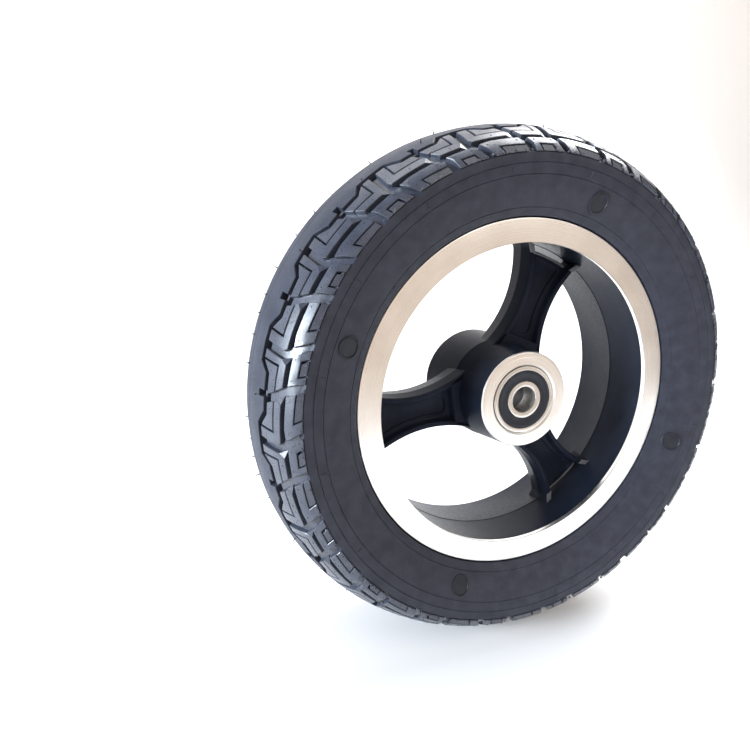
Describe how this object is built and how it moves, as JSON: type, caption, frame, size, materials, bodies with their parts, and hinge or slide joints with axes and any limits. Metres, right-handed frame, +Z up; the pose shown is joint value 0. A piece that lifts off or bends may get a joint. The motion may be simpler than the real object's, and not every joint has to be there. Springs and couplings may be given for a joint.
{
  "type": "scooter wheel",
  "caption": "Spoked scooter wheel with an airless block-tread tyre on a cast rim, turning on two sealed ball bearings pressed into its hub.",
  "frame": {"origin": "centre of the wheel, on the axle's axis and in the middle of the rim's width", "axes": "+Y along the axle towards the rear side, -Y towards the machined front face, +Z up"},
  "size_m": [0.2, 0.0584, 0.2],
  "materials": {
    "tyre_rubber": "matte moulded rubber with a soft sheen on the tread",
    "painted_casting": "cast aluminium under semi-gloss black paint",
    "machined_aluminium": "turned bare face with fine lathe marks",
    "bearing_steel": "ground and polished bearing steel",
    "ball_steel": "mirror-polished steel",
    "seal_rubber": "black moulded nitrile",
    "cage_nylon": "natural nylon",
    "spacer_steel": "cut steel tube"
  },
  "bodies": {
    "axle_side": {"front_bearing_inner_ring": "bearing_steel", "rear_bearing_inner_ring": "bearing_steel", "bearing_spacer": "spacer_steel"},
    "wheel": {"rim": "painted_casting", "hub": "painted_casting", "spoke_1": "painted_casting", "spoke_2": "painted_casting", "spoke_3": "painted_casting", "tyre": "tyre_rubber", "front_bearing_outer_ring": "bearing_steel", "front_bearing_outboard_seal": "seal_rubber", "front_bearing_inboard_seal": "seal_rubber", "rear_bearing_outer_ring": "bearing_steel", "rear_bearing_outboard_seal": "seal_rubber", "rear_bearing_inboard_seal": "seal_rubber"},
    "front_bearing_cage": {"front_bearing_ball_cage": "cage_nylon"},
    "front_bearing_ball_1": {"front_bearing_ball_1": "ball_steel"},
    "front_bearing_ball_2": {"front_bearing_ball_2": "ball_steel"},
    "front_bearing_ball_3": {"front_bearing_ball_3": "ball_steel"},
    "front_bearing_ball_4": {"front_bearing_ball_4": "ball_steel"},
    "front_bearing_ball_5": {"front_bearing_ball_5": "ball_steel"},
    "front_bearing_ball_6": {"front_bearing_ball_6": "ball_steel"},
    "front_bearing_ball_7": {"front_bearing_ball_7": "ball_steel"},
    "rear_bearing_cage": {"rear_bearing_ball_cage": "cage_nylon"},
    "rear_bearing_ball_1": {"rear_bearing_ball_1": "ball_steel"},
    "rear_bearing_ball_2": {"rear_bearing_ball_2": "ball_steel"},
    "rear_bearing_ball_3": {"rear_bearing_ball_3": "ball_steel"},
    "rear_bearing_ball_4": {"rear_bearing_ball_4": "ball_steel"},
    "rear_bearing_ball_5": {"rear_bearing_ball_5": "ball_steel"},
    "rear_bearing_ball_6": {"rear_bearing_ball_6": "ball_steel"},
    "rear_bearing_ball_7": {"rear_bearing_ball_7": "ball_steel"}
  },
  "joints": [
    {"name": "wheel_spin", "type": "hinge", "parent": "axle_side", "child": "wheel", "pos_m": [0, 0, 0], "axis": [0, 1, 0], "continuous": true},
    {"name": "front_bearing_cage_turn", "type": "hinge", "parent": "axle_side", "child": "front_bearing_cage", "pos_m": [0, -0.0168, 0], "axis": [0, 1, 0], "continuous": true},
    {"name": "front_bearing_ball_1_roll", "type": "hinge", "parent": "front_bearing_cage", "child": "front_bearing_ball_1", "pos_m": [0, -0.0168, 0.009], "axis": [0, 1, 0], "continuous": true},
    {"name": "front_bearing_ball_2_roll", "type": "hinge", "parent": "front_bearing_cage", "child": "front_bearing_ball_2", "pos_m": [0.00704, -0.0168, 0.00561], "axis": [0, 1, 0], "continuous": true},
    {"name": "front_bearing_ball_3_roll", "type": "hinge", "parent": "front_bearing_cage", "child": "front_bearing_ball_3", "pos_m": [0.00877, -0.0168, -0.002], "axis": [0, 1, 0], "continuous": true},
    {"name": "front_bearing_ball_4_roll", "type": "hinge", "parent": "front_bearing_cage", "child": "front_bearing_ball_4", "pos_m": [0.00391, -0.0168, -0.00811], "axis": [0, 1, 0], "continuous": true},
    {"name": "front_bearing_ball_5_roll", "type": "hinge", "parent": "front_bearing_cage", "child": "front_bearing_ball_5", "pos_m": [-0.00391, -0.0168, -0.00811], "axis": [0, 1, 0], "continuous": true},
    {"name": "front_bearing_ball_6_roll", "type": "hinge", "parent": "front_bearing_cage", "child": "front_bearing_ball_6", "pos_m": [-0.00877, -0.0168, -0.002], "axis": [0, 1, 0], "continuous": true},
    {"name": "front_bearing_ball_7_roll", "type": "hinge", "parent": "front_bearing_cage", "child": "front_bearing_ball_7", "pos_m": [-0.00704, -0.0168, 0.00561], "axis": [0, 1, 0], "continuous": true},
    {"name": "rear_bearing_cage_turn", "type": "hinge", "parent": "axle_side", "child": "rear_bearing_cage", "pos_m": [0, 0.0168, 0], "axis": [0, 1, 0], "continuous": true},
    {"name": "rear_bearing_ball_1_roll", "type": "hinge", "parent": "rear_bearing_cage", "child": "rear_bearing_ball_1", "pos_m": [0, 0.0168, 0.009], "axis": [0, 1, 0], "continuous": true},
    {"name": "rear_bearing_ball_2_roll", "type": "hinge", "parent": "rear_bearing_cage", "child": "rear_bearing_ball_2", "pos_m": [-0.00704, 0.0168, 0.00561], "axis": [0, 1, 0], "continuous": true},
    {"name": "rear_bearing_ball_3_roll", "type": "hinge", "parent": "rear_bearing_cage", "child": "rear_bearing_ball_3", "pos_m": [-0.00877, 0.0168, -0.002], "axis": [0, 1, 0], "continuous": true},
    {"name": "rear_bearing_ball_4_roll", "type": "hinge", "parent": "rear_bearing_cage", "child": "rear_bearing_ball_4", "pos_m": [-0.00391, 0.0168, -0.00811], "axis": [0, 1, 0], "continuous": true},
    {"name": "rear_bearing_ball_5_roll", "type": "hinge", "parent": "rear_bearing_cage", "child": "rear_bearing_ball_5", "pos_m": [0.00391, 0.0168, -0.00811], "axis": [0, 1, 0], "continuous": true},
    {"name": "rear_bearing_ball_6_roll", "type": "hinge", "parent": "rear_bearing_cage", "child": "rear_bearing_ball_6", "pos_m": [0.00877, 0.0168, -0.002], "axis": [0, 1, 0], "continuous": true},
    {"name": "rear_bearing_ball_7_roll", "type": "hinge", "parent": "rear_bearing_cage", "child": "rear_bearing_ball_7", "pos_m": [0.00704, 0.0168, 0.00561], "axis": [0, 1, 0], "continuous": true}
  ],
  "couplings": [
    {"joint": "front_bearing_cage_turn", "follows": "wheel_spin", "ratio": 0.63228},
    {"joint": "front_bearing_ball_1_roll", "follows": "wheel_spin", "ratio": 1.7577},
    {"joint": "front_bearing_ball_2_roll", "follows": "wheel_spin", "ratio": 1.7577},
    {"joint": "front_bearing_ball_3_roll", "follows": "wheel_spin", "ratio": 1.7577},
    {"joint": "front_bearing_ball_4_roll", "follows": "wheel_spin", "ratio": 1.7577},
    {"joint": "front_bearing_ball_5_roll", "follows": "wheel_spin", "ratio": 1.7577},
    {"joint": "front_bearing_ball_6_roll", "follows": "wheel_spin", "ratio": 1.7577},
    {"joint": "front_bearing_ball_7_roll", "follows": "wheel_spin", "ratio": 1.7577},
    {"joint": "rear_bearing_cage_turn", "follows": "wheel_spin", "ratio": 0.63228},
    {"joint": "rear_bearing_ball_1_roll", "follows": "wheel_spin", "ratio": 1.7577},
    {"joint": "rear_bearing_ball_2_roll", "follows": "wheel_spin", "ratio": 1.7577},
    {"joint": "rear_bearing_ball_3_roll", "follows": "wheel_spin", "ratio": 1.7577},
    {"joint": "rear_bearing_ball_4_roll", "follows": "wheel_spin", "ratio": 1.7577},
    {"joint": "rear_bearing_ball_5_roll", "follows": "wheel_spin", "ratio": 1.7577},
    {"joint": "rear_bearing_ball_6_roll", "follows": "wheel_spin", "ratio": 1.7577},
    {"joint": "rear_bearing_ball_7_roll", "follows": "wheel_spin", "ratio": 1.7577}
  ]
}
